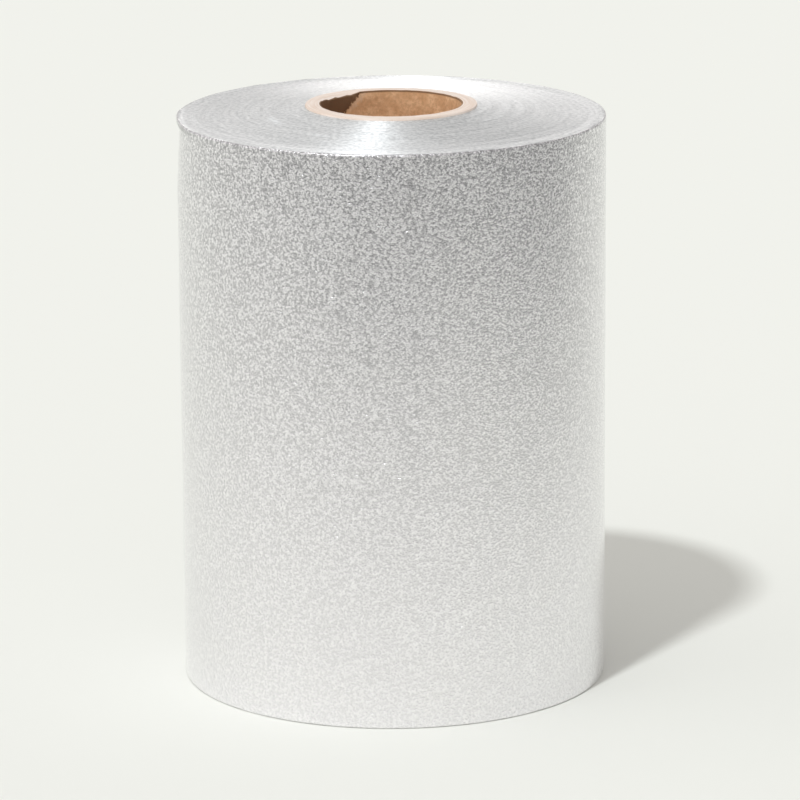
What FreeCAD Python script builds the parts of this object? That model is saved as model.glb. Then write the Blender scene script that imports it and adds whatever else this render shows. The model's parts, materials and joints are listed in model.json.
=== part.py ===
import FreeCAD, Part
import math
import os

# A roll of embossed aluminium foil for a dispenser, wound on a paperboard tube.
# Millimetres. The roll stands on end: Z is its axis, z = 0 is the surface it stands on,
# and bearings are in degrees from +X towards +Y, seen from above. The viewer is at -Y.

# Foil winding
WEB_WIDTH = 127.0        # width of the foil web
ROLL_RADIUS = 47.5       # from the axis to the outside of the last lap
LAP_STEP = 0.12          # step in the outside where the last lap ends, the embossed foil's loft
TAIL_BEARING = 100.0     # bearing of that end, on the side that the viewer doesn't see
RIM_LAND = 4.0           # breadth of the level ring at the rim, which the roll stands on
RIM_BEVEL = 0.35         # breadth of the softened outer edge at each end
CONE_RISE = 1.9          # how far the turns next to the tube have crept up past those at the rim
TURN_BREADTH = 4.0       # aimed breadth of a turn on an end face; it stands for many thin ones
TURN_STEP = 0.3          # height of such a turn's brow above a straight climb
STEP_RUN = 0.6           # breadth of the steep fall from that brow to the foot of the next turn
CLIMB_STEP = 0.05        # step up from the level ring to the lowest foot of the climb

# Paperboard tube
BORE_RADIUS = 15.5       # inside of the tube
TUBE_WALL = 3.5          # thickness of its wall, all plies together
TUBE_PROUD = 0.5         # how far each end of the tube stands past the foot of the turns next to it
LIP_CRUSH = 0.3          # breadth of the bevel that the cut has left at each mouth of the bore
SEAM_WIDTH = 0.8         # gap between the edges of the innermost ply, along the axis
SEAM_DEPTH = 0.4         # thickness of that ply
SEAM_LEAD = 97.0         # length of tube in which the ply goes once round
SEAM_BEARING = 113.0     # bearing at which the gap comes out at the top mouth

# Places that both pieces share
TUBE_RADIUS = BORE_RADIUS + TUBE_WALL
TUBE_BOTTOM = CONE_RISE - TUBE_PROUD
TUBE_TOP = WEB_WIDTH + CONE_RISE + TUBE_PROUD

# Aids to construction
SPARE = 1.0              # how far a cutting shape runs past what it cuts
POINTS_PER_TURN = 24     # points through which a turn of a spiral is drawn
TURNS_INSIDE = 1.25      # turns by which the surface of an end starts inside the tube's outside

AXIS_FOOT = FreeCAD.Vector(0, 0, 0)
UP = FreeCAD.Vector(0, 0, 1)


def in_section(radius, height):
    """A point of the half section in the XZ plane, which is turned about the axis."""
    return FreeCAD.Vector(radius, 0, height)


def turned_outline(corners):
    """The solid that a closed outline of straight sides sweeps in a full turn about the axis."""
    outline = [in_section(radius, height) for radius, height in corners]
    return Part.Face(Part.makePolygon([*outline, outline[0]])).revolve(AXIS_FOOT, UP, 360)


def ring(inner, outer, bottom, top):
    """A plain ring between two radii and two heights."""
    return turned_outline([(inner, bottom), (outer, bottom), (outer, top), (inner, top)])


def last_lap_outline():
    """The outside of the roll seen from above: one lap of a spiral, closed by the foil's end.

    The lap is four quarter rounds whose centres are the corners of a small square, so each
    meets the next smoothly and is a quarter of the step smaller.
    """
    shrink = LAP_STEP / 4

    def towards(quarters):
        bearing = math.radians(TAIL_BEARING + 90 * quarters)
        return FreeCAD.Vector(math.cos(bearing), math.sin(bearing), 0)

    centre = (towards(3) + towards(4)) * (shrink / 2)
    tail = centre + towards(0) * ROLL_RADIUS
    edges = []
    for quarter in range(4):
        radius = ROLL_RADIUS - quarter * shrink
        start = centre + towards(quarter) * radius
        middle = centre + towards(quarter + 0.5) * radius
        end = centre + towards(quarter + 1) * radius
        edges.append(Part.Arc(start, middle, end).toShape())
        centre = centre + towards(quarter + 1) * shrink
    edges.append(Part.LineSegment(end, tail).toShape())
    return Part.Wire(edges)


def level_turns(inner):
    """The outer turns: level at both ends, and bounded by the last lap and its end."""
    level_end = ROLL_RADIUS - RIM_BEVEL
    past_outside = ROLL_RADIUS + SPARE
    bevel_run = RIM_BEVEL + SPARE
    blank = turned_outline([
        (inner, 0),
        (level_end, 0),
        (past_outside, bevel_run),
        (past_outside, WEB_WIDTH - bevel_run),
        (level_end, WEB_WIDTH),
        (inner, WEB_WIDTH),
    ])
    lap = Part.Face(last_lap_outline())
    lap.translate(UP * -SPARE)
    return blank.common(lap.extrude(UP * (WEB_WIDTH + 2 * SPARE)))


def turn_line(first_radius, breadth, outer, height):
    """One turn of a spiral on the cone that climbs from outer to the tube, from the inside out."""
    points = []
    for index in range(POINTS_PER_TURN + 1):
        share = index / POINTS_PER_TURN
        radius = first_radius + breadth * share
        bearing = math.radians(TAIL_BEARING - 360 * share)
        climbed = (outer - radius) / (outer - TUBE_RADIUS)
        points.append(FreeCAD.Vector(
            radius * math.cos(bearing), radius * math.sin(bearing), height + CONE_RISE * climbed
        ))
    line = Part.BSplineCurve()
    line.interpolate(points)
    return line.toShape()


def end_sheet(outer, height):
    """The surface of one end where it climbs, as turns of a spiral with a step between them.

    It runs past the tube's wall at its inner edge and past the climb at its outer edge.
    """
    turns = max(1, round((outer - TUBE_RADIUS) / TURN_BREADTH))
    breadth = (outer - TUBE_RADIUS) / turns
    foot_height = height + CLIMB_STEP
    faces = []
    for turn in range(turns + 2):
        foot_radius = TUBE_RADIUS + breadth * (turn - TURNS_INSIDE)
        brow_radius = foot_radius + breadth - STEP_RUN
        foot = turn_line(foot_radius, breadth, outer, foot_height)
        brow = turn_line(brow_radius, breadth, outer, foot_height + TURN_STEP)
        next_foot = turn_line(foot_radius + breadth, breadth, outer, foot_height)
        faces.append(Part.makeRuledSurface(foot, brow))
        faces.append(Part.makeRuledSurface(brow, next_foot))
    sheet = Part.makeShell(faces)
    sheet.sewShape()
    return sheet


def climbing_turns(outer):
    """The turns between the tube and the level ones, which have crept up along the axis.

    Both ends have the same shape, because every turn is as wide as the web.
    """
    reach = CONE_RISE + TURN_STEP + CLIMB_STEP + SPARE
    stock = ring(TUBE_RADIUS, outer, -SPARE, WEB_WIDTH + reach)
    below_top = stock.generalFuse([end_sheet(outer, WEB_WIDTH)])[0].Solids
    stock = min(below_top, key=lambda piece: piece.CenterOfMass.z)
    above_bottom = stock.generalFuse([end_sheet(outer, 0)])[0].Solids
    return max(above_bottom, key=lambda piece: piece.CenterOfMass.z)


def foil_winding():
    """All turns of the foil as one solid."""
    climb_start = ROLL_RADIUS - RIM_LAND
    return level_turns(climb_start).fuse(climbing_turns(climb_start))


def tube_blank():
    """The plain tube, with a small bevel at each mouth of its bore."""
    mouth = BORE_RADIUS + LIP_CRUSH
    return turned_outline([
        (TUBE_RADIUS, TUBE_BOTTOM),
        (TUBE_RADIUS, TUBE_TOP),
        (mouth, TUBE_TOP),
        (BORE_RADIUS, TUBE_TOP - LIP_CRUSH),
        (BORE_RADIUS, TUBE_BOTTOM + LIP_CRUSH),
        (mouth, TUBE_BOTTOM),
    ])


def ply_seam():
    """The gap between the edges of the innermost ply: a band along a left-hand helix."""
    length = TUBE_TOP - TUBE_BOTTOM + 2 * SPARE
    helix = Part.makeHelix(SEAM_LEAD, length, BORE_RADIUS)
    inner = BORE_RADIUS - SEAM_DEPTH
    outer = BORE_RADIUS + SEAM_DEPTH
    corners = [
        in_section(inner, -SEAM_WIDTH / 2),
        in_section(outer, -SEAM_WIDTH / 2),
        in_section(outer, SEAM_WIDTH / 2),
        in_section(inner, SEAM_WIDTH / 2),
    ]
    section = Part.makePolygon([*corners, corners[0]])
    band = Part.Wire(helix).makePipeShell([section], True, True)
    band = band.mirror(AXIS_FOOT, FreeCAD.Vector(0, 1, 0))
    turn_to_top = 360 * (length - SPARE) / SEAM_LEAD
    band.translate(UP * (TUBE_BOTTOM - SPARE))
    band.rotate(AXIS_FOOT, UP, SEAM_BEARING + turn_to_top)
    return band


def core_tube():
    """The spiral-wound paperboard tube that the foil is wound on."""
    return tube_blank().cut(ply_seam())


def main():
    os.makedirs("parts", exist_ok=True)
    pieces = {"foil_winding": foil_winding(), "core_tube": core_tube()}
    for name, piece in pieces.items():
        solids = piece.Solids
        shape = solids[0] if len(solids) == 1 else Part.makeCompound(solids)
        shape.exportStep(f"parts/{name}.step")
        box = shape.optimalBoundingBox(False)
        print(
            name, "solids", len(solids), "valid", shape.isValid(), "faces", len(shape.Faces),
            "volume", round(shape.Volume, 1),
            "size", round(box.XLength, 2), round(box.YLength, 2), round(box.ZLength, 2),
            "from z", round(box.ZMin, 3), "to", round(box.ZMax, 3),
        )


main()
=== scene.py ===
# %% [markdown]
# # A roll of embossed aluminium foil on its paperboard tube
#
# The roll stands on its end on a pale surface. It is made of two things: one long web of
# embossed foil, wound several hundred times, and the brown paperboard tube in the middle.
# The solids that carry the sizes come from the CAD frame, and this lesson dresses them. Each
# step says what the real thing looks like before it makes it. Sizes are in metres.

# %% The frame, and the modules that the lesson uses
import json
import math

import bpy
import numpy as np
from mathutils import Matrix, Vector


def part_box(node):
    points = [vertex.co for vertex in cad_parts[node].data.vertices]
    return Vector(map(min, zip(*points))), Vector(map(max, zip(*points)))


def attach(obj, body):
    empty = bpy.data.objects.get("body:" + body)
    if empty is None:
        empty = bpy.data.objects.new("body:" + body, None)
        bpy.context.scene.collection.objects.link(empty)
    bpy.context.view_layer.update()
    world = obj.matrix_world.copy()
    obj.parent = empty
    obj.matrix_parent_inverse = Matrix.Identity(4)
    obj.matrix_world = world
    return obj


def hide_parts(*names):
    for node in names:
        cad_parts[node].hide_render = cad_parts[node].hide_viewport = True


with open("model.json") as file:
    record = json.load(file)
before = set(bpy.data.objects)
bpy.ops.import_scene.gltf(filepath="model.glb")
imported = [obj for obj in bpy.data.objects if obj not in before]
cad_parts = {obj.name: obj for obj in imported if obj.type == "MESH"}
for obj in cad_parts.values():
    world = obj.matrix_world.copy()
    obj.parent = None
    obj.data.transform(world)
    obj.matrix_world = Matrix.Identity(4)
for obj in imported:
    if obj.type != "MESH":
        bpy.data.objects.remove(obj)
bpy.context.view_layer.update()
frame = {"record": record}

MM = 0.001

# %% [markdown]
# ## Sizes read from the frame
#
# The roll's outside, its tube and its height are never typed again here. They are read from
# the CAD nodes, so that what is drawn sits where the solids are.

# %% Sizes of the roll and its tube
tube_low, tube_high = (Vector(corner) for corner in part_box("core_tube"))
foil_low, foil_high = (Vector(corner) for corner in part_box("foil_winding"))
tube_radius = (tube_high.x - tube_low.x) / 2
roll_radius = max(foil_high.x, -foil_low.x)
bore = frame["record"]["mounts"][0]["dims"]["r_mm"] * MM
tube_proud = 0.5 * MM
cone_rise = tube_low.z + tube_proud
rim_top = tube_high.z - cone_rise - tube_proud
print(f"roll radius {roll_radius:.5f}, tube {bore:.5f} to {tube_radius:.5f}, rim at {rim_top:.5f}")

# %% [markdown]
# ## The camera
#
# A long lens from a metre away flattens the perspective, which is why the roll's sides are
# almost parallel. The camera looks down by fourteen degrees, and it is turned about its own
# line of sight by less than half a degree, as a hand-set tripod is.

# %% Camera
CAMERA_PLACE = (0.0, -1.06253, 0.32760)
CAMERA_TILT = 75.96
CAMERA_ROLL = -0.4028
LENS = 220.36
SHIFT_X = 0.00839

camera_data = bpy.data.cameras.new("camera")
camera_data.lens = LENS
camera_data.sensor_width = 36.0
camera_data.shift_x = SHIFT_X
camera_data.clip_end = 100.0
camera = bpy.data.objects.new("camera", camera_data)
camera.matrix_world = (
    Matrix.Translation(CAMERA_PLACE)
    @ Matrix.Rotation(math.radians(CAMERA_TILT), 4, "X")
    @ Matrix.Rotation(math.radians(CAMERA_ROLL), 4, "Z")
)
bpy.context.scene.collection.objects.link(camera)
bpy.context.scene.camera = camera
print("camera at", [round(value, 4) for value in camera.matrix_world.translation])

# %% [markdown]
# ## Shader maths as plain expressions
#
# A pattern is easier to read as a formula than as a drawing of forty nodes. The class below
# wraps one socket, so that a sum or product of two of them adds the Math node that does it.
# Every other kind of node comes from one method, which first sets the node's own options and
# then feeds its sockets.


# %% A socket with arithmetic, and the material that it belongs to
class Value:
    """A number that varies over a surface. Arithmetic on it adds Math nodes."""

    def __init__(self, finish, socket):
        self.finish = finish
        self.socket = socket

    def math(self, operation, *others):
        return self.finish.node("ShaderNodeMath", {"operation": operation}, [self, *others])

    def __add__(self, other):
        return self.math("ADD", other)

    __radd__ = __add__

    def __mul__(self, other):
        return self.math("MULTIPLY", other)

    __rmul__ = __mul__

    def __sub__(self, other):
        return self.math("SUBTRACT", other)

    def __rsub__(self, other):
        return (self * -1.0) + other

    def __truediv__(self, other):
        return self.math("DIVIDE", other)

    def __pow__(self, other):
        return self.math("POWER", other)

    def clamped(self):
        return self.math("MAXIMUM", 0.0).math("MINIMUM", 1.0)

    def between(self, low, high):
        """0 below low, 1 above high, and smooth between them."""
        settings = {"interpolation_type": "SMOOTHSTEP"}
        inputs = {"Value": self, "From Min": low, "From Max": high}
        return self.finish.node("ShaderNodeMapRange", settings, inputs)


class Finish:
    """One material, or the world, and its node tree."""

    def __init__(self, owner):
        self.owner = owner
        owner.use_nodes = True
        self.tree = owner.node_tree
        self.tree.nodes.clear()

    def node(self, kind, settings=None, inputs=None, output=0):
        made = self.tree.nodes.new(kind)
        for name, setting in (settings or {}).items():
            if name == "stops":
                self.set_stops(made.color_ramp, setting)
            else:
                setattr(made, name, setting)
        pairs = enumerate(inputs) if isinstance(inputs, (list, tuple)) else (inputs or {}).items()
        for key, given in pairs:
            if isinstance(given, Value):
                self.tree.links.new(given.socket, made.inputs[key])
            elif given is not None:
                made.inputs[key].default_value = given
        return Value(self, made.outputs[output]) if len(made.outputs) else made

    @staticmethod
    def set_stops(ramp, stops):
        while len(ramp.elements) < len(stops):
            ramp.elements.new(0.5)
        for element, (place, colour) in zip(ramp.elements, stops):
            element.position = place
            element.color = colour

    def vector_math(self, operation, *others, output=0):
        settings = {"operation": operation}
        return self.node("ShaderNodeVectorMath", settings, list(others), output)

    def vector(self, x, y, z):
        return self.node("ShaderNodeCombineXYZ", None, [x, y, z])

    def mix(self, share, first, second):
        """first where share is 0 and second where it is 1; both are colours."""
        settings = {"data_type": "RGBA", "clamp_factor": True}
        inputs = {0: share, 6: first, 7: second}
        return self.node("ShaderNodeMix", settings, inputs, output=2)

    def show(self, shader):
        kind = "ShaderNodeOutputWorld" if isinstance(self.owner, bpy.types.World) else None
        self.node(kind or "ShaderNodeOutputMaterial", None, {"Surface": shader})
        return self.owner


def new_finish(name):
    return Finish(bpy.data.materials.new(name))


print("shader maths ready")

# %% [markdown]
# ## Light
#
# Bright metal shows little of itself and mostly what stands round it, so the room matters as
# much as the lamp. A picture of a real room could stand round the roll, but a few sums over
# the direction of sight make a plain pale one that can be tuned. It is a little brighter at
# the left and duller overhead. Low down, straight behind the roll, lies one bright patch with
# a duller place at each side of it. The ends are seen at a slant, so their far side mirrors
# just that patch, and it is what makes them flash white there.

# %% The room
ROOM_BACK = 0.82
ROOM_FRONT = 0.85
ROOM_RIGHT_LOSS = 0.20
ROOM_HIGH_LOSS = 0.29
BACK_GLOW = 3.0
BACK_DIM = 0.24
ROOM_COLOUR = (1.02, 0.997, 0.983, 1.0)

room = Finish(bpy.data.worlds.new("room"))
bpy.context.scene.world = room.owner
looking = room.node("ShaderNodeTexCoord", None, None, output="Generated")
sideways, backwards, upwards = (
    room.node("ShaderNodeSeparateXYZ", None, [looking], output=axis) for axis in "XYZ"
)
in_front = (backwards * -1.0).between(-0.3, 1.0)
behind = backwards.between(0.6, 0.9)
off_glow = (sideways - 0.006).math("ABSOLUTE")
glow = behind * (1.0 - off_glow.between(0.015, 0.055)) * (1.0 - upwards.between(0.0, 0.36)) ** 2.0
beside_glow = (sideways * -1.0).between(0.015, 0.05) + sideways.between(0.06, 0.10) * 0.5
dim = behind * beside_glow * (1.0 - upwards.between(0.10, 0.22))
room_light = (
    ROOM_BACK + in_front * (ROOM_FRONT - ROOM_BACK)
    - sideways * ROOM_RIGHT_LOSS - upwards * ROOM_HIGH_LOSS
    + glow * BACK_GLOW - dim * BACK_DIM
)
room.show(room.node(
    "ShaderNodeBackground", None, {"Color": ROOM_COLOUR, "Strength": room_light}
))
print("room", ROOM_BACK, "behind and", ROOM_FRONT, "in front")

# %% [markdown]
# ### The lamp
#
# One lamp high up at the front left throws the shadow. It is a sun lamp, so that the floor is
# lit alike everywhere, and it is wide, so that the shadow's edge is soft. The room is a touch
# warm and the lamp a touch cool: where both reach, a grey stays grey, and in the shadow it
# turns a little warm. Together they light the floor at a level of one, at which a colour
# renders as it is written.

# %% The lamp
KEY_BEARING = 239.8
KEY_ELEVATION = 58.6
KEY_STRENGTH = 1.35
KEY_COLOUR = (0.97, 1.0, 1.025)
KEY_WIDTH = 4.2

key_height = math.radians(KEY_ELEVATION)
key_direction = Vector((
    math.cos(math.radians(KEY_BEARING)) * math.cos(key_height),
    math.sin(math.radians(KEY_BEARING)) * math.cos(key_height),
    math.sin(key_height),
))
key_data = bpy.data.lights.new("key", "SUN")
key_data.energy = KEY_STRENGTH
key_data.color = KEY_COLOUR
key_data.angle = math.radians(KEY_WIDTH)
key = bpy.data.objects.new("key", key_data)
key.rotation_euler = key_direction.to_track_quat("Z", "Y").to_euler()
bpy.context.scene.collection.objects.link(key)
bpy.context.scene.view_settings.view_transform = "Standard"
print("key lamp from", [round(value, 3) for value in key_direction])

# %% [markdown]
# ## Floor
#
# The floor is a wide pale sheet. It is even where the camera sees it, and its paint falls off to
# grey further out, in front most of all: a painted shade that stands in for the light falling off
# away from the roll. The foil's wall is a tall mirror that looks down at it: the foot mirrors the
# pale part close by and the upper half the grey part, and that is what shades the wall from top to
# bottom. The lit foot of the wall throws light back on the floor in front of it, so the paint is a
# little darker there, which keeps the floor even.

# %% Floor
FLOOR_COLOUR = (0.879, 0.888, 0.838, 1.0)
FLOOR_FAR_PAINTED_SHADE = (0.30, 0.305, 0.30, 1.0)
FLOOR_FOOT_COLOUR = (0.855, 0.863, 0.815, 1.0)
FOOT_PLACE = (-0.06, -0.05)
FLOOR_SIZE = 30.0
EVEN_HALF_WIDTH = 0.11
EVEN_FRONT = 0.20
FALL_LEFT = 1.8
FALL_RIGHT = 0.70
FALL_FRONT = 0.48
EVEN_BACK = 1.0


def floor_finish():
    finish = new_finish("floor_pale")
    place = finish.node("ShaderNodeTexCoord", None, None, output="Object")
    across, along = (
        finish.node("ShaderNodeSeparateXYZ", None, [place], output=axis) for axis in "XY"
    )
    at_right = (across - EVEN_HALF_WIDTH).math("MAXIMUM", 0.0) * (1 / FALL_RIGHT)
    at_left = (-EVEN_HALF_WIDTH - across).math("MAXIMUM", 0.0) * (1 / FALL_LEFT)
    in_front = (-EVEN_FRONT - along).math("MAXIMUM", 0.0) * (1 / FALL_FRONT)
    aside = (at_right + at_left) * (1.0 - along.between(0.02, 0.45) * EVEN_BACK)
    # Painted shade: the floor's paint falls off to grey further out, standing in for light that falls
    # off.
    painted_falloff = ((aside * aside + in_front * in_front) ** 0.5).between(0.0, 1.0)
    off_foot = finish.vector(across - FOOT_PLACE[0], along - FOOT_PLACE[1], 0.0)
    near_foot = 1.0 - finish.vector_math("LENGTH", off_foot, output="Value").between(0.03, 0.13)
    colour = finish.mix(near_foot, FLOOR_COLOUR, FLOOR_FOOT_COLOUR)
    shader = finish.node("ShaderNodeBsdfPrincipled", None, {
        "Base Color": finish.mix(painted_falloff, colour, FLOOR_FAR_PAINTED_SHADE),
        "Roughness": 1.0,
        "Specular IOR Level": 0.0,
    })
    return finish.show(shader)


floor_mesh = bpy.data.meshes.new("floor")
half = FLOOR_SIZE / 2
floor_mesh.from_pydata(
    [(-half, -half, 0), (half, -half, 0), (half, half, 0), (-half, half, 0)], [], [(0, 1, 2, 3)]
)
floor_mesh.materials.append(floor_finish())
floor = bpy.data.objects.new("floor", floor_mesh)
bpy.context.scene.collection.objects.link(floor)
print("floor", FLOOR_SIZE, "m wide")

# %% [markdown]
# ## A closed surface from a loop of rings
#
# Both pieces are turned shapes that aren't quite round: a section is carried about the axis,
# and every point may move a little on the way. A grid of points whose rows close on
# themselves in both directions makes such a shape with no loose edge.


# %% Grid to mesh
def closed_grid(name, points, materials, material_of_row):
    """A closed mesh from points[column, row], where both directions run round."""
    columns, rows, _ = points.shape
    index = np.arange(columns * rows).reshape(columns, rows)
    right = np.roll(index, -1, axis=0)
    faces = np.stack(
        [index, right, np.roll(right, -1, axis=1), np.roll(index, -1, axis=1)], axis=-1
    ).reshape(-1, 4)
    mesh = bpy.data.meshes.new(name)
    mesh.from_pydata(points.reshape(-1, 3).tolist(), [], faces.tolist())
    for material in materials:
        mesh.materials.append(material)
    mesh.polygons.foreach_set("material_index", np.tile(material_of_row, columns).astype(np.int32))
    mesh.polygons.foreach_set("use_smooth", np.ones(len(faces), dtype=bool))
    mesh.update()
    mesh.set_sharp_from_angle(angle=math.radians(38))
    piece = bpy.data.objects.new(name, mesh)
    bpy.context.scene.collection.objects.link(piece)
    print(name, "has", 2 * len(faces), "triangles")
    return piece


# %% [markdown]
# ## The foil winding
#
# The web is wound as one spiral, so the roll's outside is a single lap: its free end lies on
# the far side as a step as high as the embossed foil is thick. The turns next to the tube
# have crept up, which makes each end a very flat cone, while the outermost turns stay level.
# All of it is one closed surface here. The embossing is far finer than a mesh can hold, so it
# is left to the finish, and the mesh keeps the slow waves that a hand would feel.

# %% Places round the roll
LAP_STEP = 0.12 * MM
TAIL_BEARING = 100.0
RIM_LAND = 4.0 * MM
RIM_ROUND = 0.35 * MM
FOOT_ROUND = 0.45 * MM

rng = np.random.default_rng(7)
near_the_tail = [0.0, 0.1, 0.25, 0.45, 0.7, 1.0, 1.4]
turn = np.concatenate([near_the_tail, np.linspace(2.0, 359.0, 420), [359.4, 359.85]])
bearing = np.radians(TAIL_BEARING + turn)[:, None]
lap_radius = (roll_radius - LAP_STEP * turn / 360.0)[:, None]
land_start = roll_radius - RIM_LAND
print(turn.size, "columns round the roll")


# %% [markdown]
# ### Unevenness
#
# No wound roll is a true cylinder. Its slow waves could be sculpted by hand, or come from a
# texture, but a sum of a few dozen sine waves with random lengths and headings has no seam
# and no grain of its own, and the same seed gives the same roll each time.

# %% Helpers for uneven surfaces
def waves(across, along, shortest, longest, count):
    """A smooth random relief between about -1 and 1, of waves in every direction."""
    total = np.zeros(np.broadcast(across, along).shape)
    for _ in range(count):
        length = rng.uniform(shortest, longest)
        heading = rng.uniform(0, math.pi)
        phase = rng.uniform(0, 2 * math.pi)
        reach = across * math.cos(heading) + along * math.sin(heading)
        total += np.sin(2 * math.pi * reach / length + phase)
    return total / math.sqrt(count) / 1.5


def hill(place, middle, breadth):
    """1 at the middle, and near 0 from about twice the breadth away."""
    return np.exp(-((place - middle) / breadth) ** 2)


def rise(place, low, high):
    """0 below low and 1 above high, with a straight climb between them."""
    return np.clip((place - low) / (high - low), 0, 1)


# %% [markdown]
# ### Where the outer lap has come loose
#
# At the left the edge of the outermost lap has been caught and bent out at the top. The wall
# is drawn in a little below it, so that the bent edge stands clear and still stays inside
# the roll's true radius.

# %% The wall
WALL_ROWS = 124
CURL_BEARING = math.radians(182.0)
CURL_BREADTH = math.radians(10.0)
CURL_DEPTH = 0.75 * MM
CURL_LIFT = 0.35 * MM

wall_height = np.concatenate([
    np.linspace(FOOT_ROUND, rim_top - 4 * MM, WALL_ROWS - 8),
    np.linspace(rim_top - 3.3 * MM, rim_top - RIM_ROUND, 8),
])[None, :]
curl = hill(bearing, CURL_BEARING, CURL_BREADTH)
tail_lift = hill(turn[:, None] % 360, 0.0, 1.2) * 0.05 * MM


def wall_radius():
    relief = waves(lap_radius * bearing, wall_height, 3 * MM, 14 * MM, 30)
    slow = waves(lap_radius * bearing, wall_height, 25 * MM, 80 * MM, 8)
    drawn_in = CURL_DEPTH * curl * rise(wall_height, rim_top - 16 * MM, rim_top - 3 * MM)
    released = rise(wall_height, rim_top - 2.0 * MM, rim_top - 0.7 * MM)
    return (
        lap_radius - 0.06 * MM + 0.012 * MM * relief + 0.04 * MM * slow
        + tail_lift - drawn_in * (1 - released)
    )


# %% [markdown]
# ### The ends
#
# Each end is a very flat cone of cut edges. The laps don't lie quite level with each other,
# so the end also has slow steps that follow the spiral. The upper rim is rounded by handling,
# and the lower one a little more by the roll's own weight, which is what draws the dark line
# where it meets the floor.

# %% The two ends
END_ROWS = 40
STEP_BREADTH = 4.08 * MM
STEP_HEIGHT = 0.06 * MM


def end_height(radius, drift):
    """How far an end face stands above the level ring."""
    climb = rise(land_start - radius, 0, land_start - tube_radius) ** 1.3
    turns_out = (radius - tube_radius) / STEP_BREADTH - bearing / (2 * math.pi)
    within = turns_out % 1.0
    step = np.minimum(within / 0.85, (1 - within) / 0.15)
    edge = rise(roll_radius - radius, 0, 3 * MM)
    return cone_rise * climb + (STEP_HEIGHT * step * climb ** 0.5 + 0.03 * MM * drift) * edge


def end_rows(top):
    """Rows from the rim to the tube, as radius and height above the level ring."""
    inward = np.linspace(0, 1, END_ROWS)[None, :]
    start = lap_radius - 0.06 * MM - (RIM_ROUND if top else FOOT_ROUND)
    radius = start * (1 - inward) + tube_radius * inward
    drift = waves(radius, bearing * 4 * MM, 1.5 * MM, 7 * MM, 10)
    height = end_height(radius, drift)
    if top:
        height = height + CURL_LIFT * curl * rise(radius, roll_radius - 1.2 * MM, roll_radius)
    return radius, height


def rounding(wall_edge, top):
    """Three rows that round the rim between the wall and an end."""
    size = RIM_ROUND if top else FOOT_ROUND
    nicks = waves(bearing * roll_radius, 0 * bearing, 2 * MM, 30 * MM, 12) * 0.05 * MM
    rows = []
    for degrees in (25, 50, 75):
        slant = math.radians(degrees)
        radius = wall_edge - size * (1 - math.cos(slant))
        height = size * (math.sin(slant) - 1) + nicks * math.sin(slant)
        if top:
            height = height + CURL_LIFT * curl * math.sin(slant)
        rows.append((radius, height))
    return [np.concatenate(part, axis=1) for part in zip(*rows)]


# %% [markdown]
# ### One closed skin
#
# Wall, rounded rims and ends are rows of one grid. They could be separate meshes, but then
# each rim would be a seam in the shading. As one skin the light runs over the rim unbroken.

# %% The whole section, carried round
def foil_points():
    wall = wall_radius()
    top_round, top_end = rounding(wall[:, -1:], True), end_rows(True)
    low_round, low_end = rounding(wall[:, :1], False), end_rows(False)
    radius = np.concatenate(
        [wall, top_round[0], top_end[0], low_end[0][:, ::-1], low_round[0][:, ::-1]], axis=1
    )
    height = np.concatenate([
        wall_height + 0 * bearing,
        rim_top + top_round[1],
        rim_top + top_end[1],
        np.maximum(low_end[1][:, ::-1], 0),
        np.maximum(-low_round[1][:, ::-1], 0),
    ], axis=1)
    return np.stack([radius * np.cos(bearing), radius * np.sin(bearing), height], axis=-1)


# %% [markdown]
# ### The embossed face
#
# On the wall the foil shows its face: bright metal with a random pebble pressed into it,
# worm-like ridges about half a millimetre wide. A mesh that fine would be far too heavy, so
# the pebble is a bump, from two noises of different grain that a soft threshold flattens into
# ridges and pits. A bump can't shade itself, and a real pit mirrors its own walls, so the
# pits are painted darker as well, a painted shade. That shows more towards the top, where the
# wall mirrors a grey part of the floor. A thin clear film smooths the sides, where the foil is
# seen at a slant and the pebble hides behind its own ridges. Two more marks are painted into the
# tint of the last lap: a painted shade under the bent edge at the left, and a painted shade hairline
# at the foil's loose end.


# %% Embossed face
EMBOSS_DEPTH = 0.085 * MM
PIT_SHADE_FOOT = 0.22
PIT_SHADE_TOP = 0.82
FOLD_FIRST, FOLD_LAST = 170.0, 208.0


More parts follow.
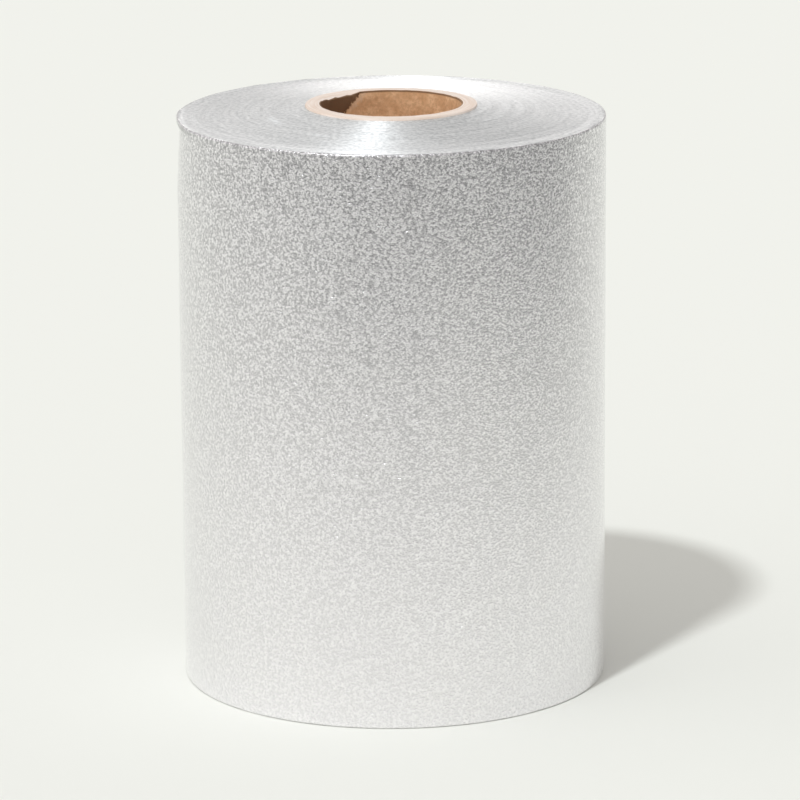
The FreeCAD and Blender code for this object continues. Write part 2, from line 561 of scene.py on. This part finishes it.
def embossed_foil():
    finish = new_finish("embossed_foil")
    place = finish.node("ShaderNodeTexCoord", None, None, output="Object")
    in_mm = finish.vector_math("MULTIPLY", place, (1000.0, 1000.0, 1000.0))
    across, along, up = (
        finish.node("ShaderNodeSeparateXYZ", None, [in_mm], output=axis) for axis in "XYZ"
    )
    climbed = up * (MM / rim_top)
    worms = finish.node(
        "ShaderNodeTexNoise", None, {"Vector": in_mm, "Scale": 1.75, "Detail": 0.0, "Distortion": 0.4}
    )
    fine = finish.node("ShaderNodeTexNoise", None, {"Vector": in_mm, "Scale": 3.3, "Detail": 0.0})
    slow = finish.node(
        "ShaderNodeTexNoise", None, {"Vector": in_mm, "Scale": 0.12, "Detail": 3.0}
    )
    relief = worms.between(0.37, 0.66) * 0.6 + fine.between(0.34, 0.66) * 0.4
    bump = finish.node(
        "ShaderNodeBump", None, {"Strength": 1.0, "Distance": EMBOSS_DEPTH, "Height": relief}
    )
    # Painted shade in the pits, deeper towards the top of the wall.
    shade_depth = PIT_SHADE_FOOT + climbed ** 1.2 * (PIT_SHADE_TOP - PIT_SHADE_FOOT)
    tint = finish.mix(slow, (0.985, 0.973, 1.0, 1.0), (1.0, 0.99, 1.0, 1.0))
    tint = finish.mix((1.0 - relief) * shade_depth, tint, (0.20, 0.20, 0.21, 1.0))
    turned = along.math("ARCTAN2", across) * (180 / math.pi)
    round_axis = (turned + 360.0).math("MODULO", 360.0)
    below_rim = rim_top / MM - up
    # Painted shade under the bent edge of the outer lap, at the left just below the rim.
    painted_fold_shade = round_axis.between(FOLD_FIRST - 4, FOLD_FIRST + 4)
    painted_fold_shade = painted_fold_shade * (1.0 - round_axis.between(FOLD_LAST - 14, FOLD_LAST))
    painted_fold_shade = painted_fold_shade * below_rim.between(0.15, 0.45) * (1.0 - below_rim.between(0.9, 1.5))
    tint = finish.mix(painted_fold_shade * 0.8, tint, (0.16, 0.16, 0.17, 1.0))
    # A painted shade hairline along the step at the foil's loose end.
    off_tail = (round_axis - TAIL_BEARING).math("ABSOLUTE")
    tint = finish.mix((1.0 - off_tail.between(0.05, 0.35)) * 0.6, tint, (0.2, 0.2, 0.21, 1.0))
    shader = finish.node("ShaderNodeBsdfPrincipled", None, {
        "Base Color": tint,
        "Metallic": 1.0,
        "Roughness": 0.20 + slow * 0.08,
        "Coat Weight": 1.0,
        "Coat Roughness": 0.25,
        "Coat IOR": 1.75,
        "Normal": bump,
    })
    return finish.show(shader)


# %% [markdown]
# ### Laps that stand proud
#
# A few laps have slipped along the axis by a hair, and their edges catch the light as short
# pale streaks that follow the spiral. Each is kept as two radii and two bearings, which lets
# it drift outwards as it goes round. As real laps they would need very thin geometry, and a
# mask of soft-edged arcs shows the same thing at this distance.

# %% Laps that stand proud of an end: first and last radius, first and last bearing, breadth
PROUD_LAPS = [
    (28.1, 29.2, 197.0, 216.0, 0.9),
    (32.0, 32.9, 235.0, 248.0, 1.0),
    (30.4, 35.2, 249.0, 261.0, 1.0),
    (45.2, 45.6, 232.0, 258.0, 0.5),
    (40.5, 41.0, 24.0, 51.0, 0.25),
    (25.5, 26.4, 318.0, 341.0, 0.3),
]


def proud_laps(finish, out, round_axis):
    """A mask of short pale arcs, from the radius in mm and the bearing in degrees."""
    total = None
    for first_radius, last_radius, first, last, breadth in PROUD_LAPS:
        share = (round_axis - first) * (1 / (last - first))
        middle = first_radius + share * (last_radius - first_radius)
        off = (out - middle).math("ABSOLUTE")
        ends = share.between(0.0, 0.25) * (1.0 - share.between(0.75, 1.0))
        arc = (1.0 - off.between(0.1 * breadth, 1.2 * breadth)) * ends
        total = arc if total is None else total.math("MAXIMUM", arc)
    return total


# %% [markdown]
# ### The wound edges
#
# On the ends the foil shows nothing but its cut edges, hundreds of them side by side. They
# act as fine grooves about the axis, so a shine is drawn out along the radius into a wedge.
# The shader has a setting for exactly that, the anisotropy, and a small turn of it sets the
# wedge beside the middle, as the lamp's place asks. Specks and faint rings vary the tint and
# the bump, because edges that are crushed here and there don't mirror alike.

# %% Wound edges
def wound_edges():
    finish = new_finish("wound_foil_edges")
    place = finish.node("ShaderNodeTexCoord", None, None, output="Object")
    flat = finish.vector_math("MULTIPLY", place, (1000.0, 1000.0, 0.0))
    out = finish.vector_math("LENGTH", flat, output="Value")
    across, along = (
        finish.node("ShaderNodeSeparateXYZ", None, [flat], output=axis) for axis in "XY"
    )
    turned = along.math("ARCTAN2", across) * (180 / math.pi)
    round_axis = (turned + 360.0).math("MODULO", 360.0)
    arcs = finish.node("ShaderNodeTexNoise", None, {
        "Vector": finish.vector(across * 0.06, along * 0.06, out * 1.6),
        "Scale": 1.0, "Detail": 2.0, "Roughness": 0.7,
    })
    grain = finish.node("ShaderNodeTexNoise", None, {
        "Vector": finish.vector(across * 1.3, along * 1.3, out * 4.0),
        "Scale": 1.0, "Detail": 1.0,
    })
    crumple = finish.node("ShaderNodeTexNoise", None, {
        "Vector": flat, "Scale": 0.22, "Detail": 3.0, "Distortion": 0.8,
    })
    specks = finish.node("ShaderNodeTexNoise", None, {"Vector": flat, "Scale": 1.1, "Detail": 2.0})
    proud = proud_laps(finish, out, round_axis) * grain.between(0.38, 0.56)
    height = arcs * 0.3 + grain * 0.35 + crumple * 1.2 + specks * 0.4
    bump = finish.node("ShaderNodeBump", None, {
        "Strength": 1.0, "Distance": 0.12 * MM, "Height": height,
    })
    pale = arcs.between(0.36, 0.64) * 0.35 + specks.between(0.38, 0.62) * 0.65
    tint = finish.mix(pale, (0.62, 0.645, 0.655, 1.0), (0.96, 0.98, 0.985, 1.0))
    shader = finish.node("ShaderNodeBsdfPrincipled", None, {
        "Base Color": tint,
        "Metallic": 1.0 - proud,
        "Roughness": 0.42 + grain * 0.1,
        "Anisotropic": 0.87,
        "Anisotropic Rotation": 0.243,
        "Coat Weight": 0.7,
        "Coat Roughness": 0.25,
        "Normal": bump,
    })
    return finish.show(shader)


# %% The winding itself
materials = [embossed_foil(), wound_edges()]
rounded = 3
band_of_row = np.concatenate([
    np.zeros(WALL_ROWS + rounded), np.ones(2 * END_ROWS), np.zeros(rounded),
]).astype(int)
foil = closed_grid("foil_winding_wound", foil_points(), materials, band_of_row)
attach(foil, "root")
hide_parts("foil_winding")

# %% [markdown]
# ## The paperboard tube
#
# The tube is rolled from strips of brown paper that lie on each other at a slant, so a seam
# runs round its inside like a screw thread. It could be a groove cut by a boolean, but the
# bore is a grid, so each of its points just moves out where it lies in the gap. The edges of
# torn paper aren't straight, and neither is the groove. The inner lip has been pushed down
# beside the seam, where the tube was pulled off its mandrel.

# %% Tube shape
SEAM_LEAD = 97.0 * MM
SEAM_BEARING = 113.0
LIP = 0.3 * MM
TUBE_COLUMNS = 288
BORE_ROWS = 120
DENT_DEPTH = 0.62 * MM
FUZZ = 0.05 * MM

angle = np.radians(np.arange(TUBE_COLUMNS) * 360.0 / TUBE_COLUMNS)[:, None]
along_lip = angle * bore


def dent():
    """How far the inner lip is pushed down: most beside the seam, and a little all round."""
    degrees = np.degrees(angle)
    pushed = rise(degrees, 116, 124) * (1 - rise(degrees, 150, 172))
    ragged = 1 + 0.25 * waves(along_lip, 0 * angle, 1.2 * MM, 5 * MM, 8)
    return DENT_DEPTH * pushed * ragged + FUZZ * waves(along_lip, 0 * angle, 1 * MM, 6 * MM, 14)


def bore_rows(high, low):
    """The bore, from its upper mouth down, with the gap between the edges of the paper."""
    height = np.linspace(high - 0.8 * MM, low + LIP, BORE_ROWS)[None, :]
    seam = math.radians(SEAM_BEARING) + 2 * math.pi * (high - height) / SEAM_LEAD
    away = (angle - seam + math.pi) % (2 * math.pi) - math.pi
    ragged = waves(along_lip, height, 1.5 * MM, 6 * MM, 12) * 0.22 * MM
    groove = rise(0.4 * MM - np.abs(away * bore * 0.7 + ragged), -0.2 * MM, 0.2 * MM)
    ripple = waves(along_lip, height, 4 * MM, 20 * MM, 16) * 0.04 * MM
    return np.stack(np.broadcast_arrays(bore + 0.2 * MM * groove + ripple, height), axis=-1)


def tube_points():
    low, high = tube_low.z, tube_high.z
    pushed = np.maximum(dent(), -0.02 * MM)
    plain = 0 * angle

    def row(radius, height):
        return np.stack([radius + plain, height + plain], axis=-1)

    bottom = [
        row(bore + 0.1 * MM, low + 0.1 * MM), row(bore + LIP, low),
        row(tube_radius - LIP, low), row(tube_radius, low + LIP),
    ]
    fuzz = [waves(along_lip, plain + k, 0.8 * MM, 4 * MM, 12) * FUZZ for k in range(4)]
    side = [row(tube_radius, high - 3 * MM), row(tube_radius, high - 0.4 * MM)]
    top = [
        row(tube_radius - 0.12 * MM + fuzz[0] * 0.4, high - 0.1 * MM),
        row(tube_radius - 0.8 * MM, high - FUZZ + fuzz[1] * 0.6),
        row(bore + 1.9 * MM, high - FUZZ + fuzz[2] * 0.6 - 0.1 * pushed),
        row(bore + 1.0 * MM, high - FUZZ + fuzz[3] * 0.6 - 0.5 * pushed),
        row(bore + 0.35 * MM, high - 0.05 * MM - 0.9 * pushed),
    ]
    lip = [
        row(bore + 0.05 * MM, high - 0.15 * MM - pushed),
        row(bore + 0.10 * MM, high - 0.35 * MM - pushed * 0.6),
    ]
    rest = np.stack([*bottom, *side, *top, *lip], axis=1)
    rest = rest.reshape(TUBE_COLUMNS, -1, 2)
    section = np.concatenate([bore_rows(high, low), rest], axis=1)
    radius, height = section[..., 0], section[..., 1]
    return np.stack([radius * np.cos(angle), radius * np.sin(angle), height], axis=-1)


# %% [markdown]
# ### Kraft paper
#
# Kraft is brown because its fibres keep their lignin, and it is blotched because they lie in
# clumps. One noise makes the blotches, a finer one the fibres, and the finer one is also the
# bump. Past the seam near the mouth the paper is darkened with a painted shade. It is pale along
# the torn edge, and a painted shade makes it darkest right under the lip.

# %% Kraft paper
def kraft_board():
    finish = new_finish("kraft_board")
    place = finish.node("ShaderNodeTexCoord", None, None, output="Object")
    in_mm = finish.vector_math("MULTIPLY", place, (1000.0, 1000.0, 1000.0))
    across, along, up = (
        finish.node("ShaderNodeSeparateXYZ", None, [in_mm], output=axis) for axis in "XYZ"
    )
    fibres = finish.node(
        "ShaderNodeTexNoise", None, {"Vector": in_mm, "Scale": 1.4, "Detail": 6.0, "Roughness": 0.7}
    )
    blotches = finish.node(
        "ShaderNodeTexNoise", None, {"Vector": in_mm, "Scale": 0.4, "Detail": 4.0}
    )
    brown = finish.mix(
        blotches.between(0.35, 0.65), (0.72, 0.425, 0.225, 1.0), (0.88, 0.57, 0.33, 1.0)
    )
    worn = finish.mix(fibres.between(0.40, 0.64) * 0.55, brown, (0.52, 0.29, 0.145, 1.0))

    below = tube_high.z / MM - up
    seam = math.radians(SEAM_BEARING) + below * (2 * math.pi * MM / SEAM_LEAD)
    away = along.math("ARCTAN2", across) - seam + (fibres - 0.5) * 0.35
    past_seam = away.math("SINE").between(0.0, 0.05) * away.math("COSINE").between(-0.2, 0.35)
    # Painted shade past the seam near the mouth, fading out between 6 and 16 mm down.
    painted_seam_shade = past_seam * (1.0 - below.between(6.0, 16.0))
    frayed = (away + 0.03).math("ABSOLUTE")
    frayed = (1.0 - frayed.between(0.02, 0.07)) * (1.0 - below.between(2.5, 5.0))
    # Painted shade right under the lip, darkest at the top edge of the tube.
    painted_lip_shade = 1.0 - (below + (fibres - 0.5) * 0.5).between(0.25, 0.6)
    shade = finish.mix(painted_seam_shade, worn, (0.19, 0.105, 0.052, 1.0))
    shade = finish.mix(frayed * 0.4, shade, (0.86, 0.66, 0.48, 1.0))
    shade = finish.mix(painted_lip_shade * 0.85, shade, (0.20, 0.11, 0.055, 1.0))
    bump = finish.node(
        "ShaderNodeBump", None, {"Strength": 1.0, "Distance": 0.06 * MM, "Height": fibres}
    )
    shader = finish.node("ShaderNodeBsdfPrincipled", None, {
        "Base Color": shade, "Roughness": 0.85 + fibres * 0.1, "Normal": bump,
    })
    return finish.show(shader)


# %% [markdown]
# ### The cut edge of the tube
#
# The cut ends are paler than the faces, because the saw opens the fibres, and they show the
# plies as faint rings. A noise that is stretched along the rings is enough for both.

# %% Cut edge of the paperboard
def cut_board():
    finish = new_finish("cut_board")
    place = finish.node("ShaderNodeTexCoord", None, None, output="Object")
    in_mm = finish.vector_math("MULTIPLY", place, (1000.0, 1000.0, 1000.0))
    flat = finish.vector_math("MULTIPLY", in_mm, (1.0, 1.0, 0.0))
    out = finish.vector_math("LENGTH", flat, output="Value")
    across, along = (
        finish.node("ShaderNodeSeparateXYZ", None, [flat], output=axis) for axis in "XY"
    )
    plies = finish.node("ShaderNodeTexNoise", None, {
        "Vector": finish.vector(across * 0.1, along * 0.1, out * 2.2), "Scale": 1.0, "Detail": 2.0,
    })
    fuzz = finish.node(
        "ShaderNodeTexNoise", None, {"Vector": in_mm, "Scale": 2.5, "Detail": 4.0}
    )
    pale = finish.mix(plies.between(0.35, 0.65), (0.80, 0.66, 0.56, 1.0), (0.90, 0.79, 0.71, 1.0))
    specked = finish.mix(fuzz.between(0.55, 0.75) * 0.3, pale, (0.66, 0.47, 0.34, 1.0))
    bump = finish.node(
        "ShaderNodeBump", None, {"Strength": 1.0, "Distance": 0.08 * MM, "Height": fuzz + plies}
    )
    shader = finish.node("ShaderNodeBsdfPrincipled", None, {
        "Base Color": specked, "Roughness": 0.9, "Normal": bump,
    })
    return finish.show(shader)


# %% The tube itself
CUT_ROWS_LOW = [BORE_ROWS + 1, BORE_ROWS + 2]
CUT_ROWS_HIGH = list(range(BORE_ROWS + 4, BORE_ROWS + 10))
tube_shape = tube_points()
board_of_row = np.zeros(tube_shape.shape[1], dtype=int)
board_of_row[CUT_ROWS_LOW + CUT_ROWS_HIGH] = 1
tube = closed_grid("core_tube_board", tube_shape, [kraft_board(), cut_board()], board_of_row)
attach(tube, "root")
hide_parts("core_tube")
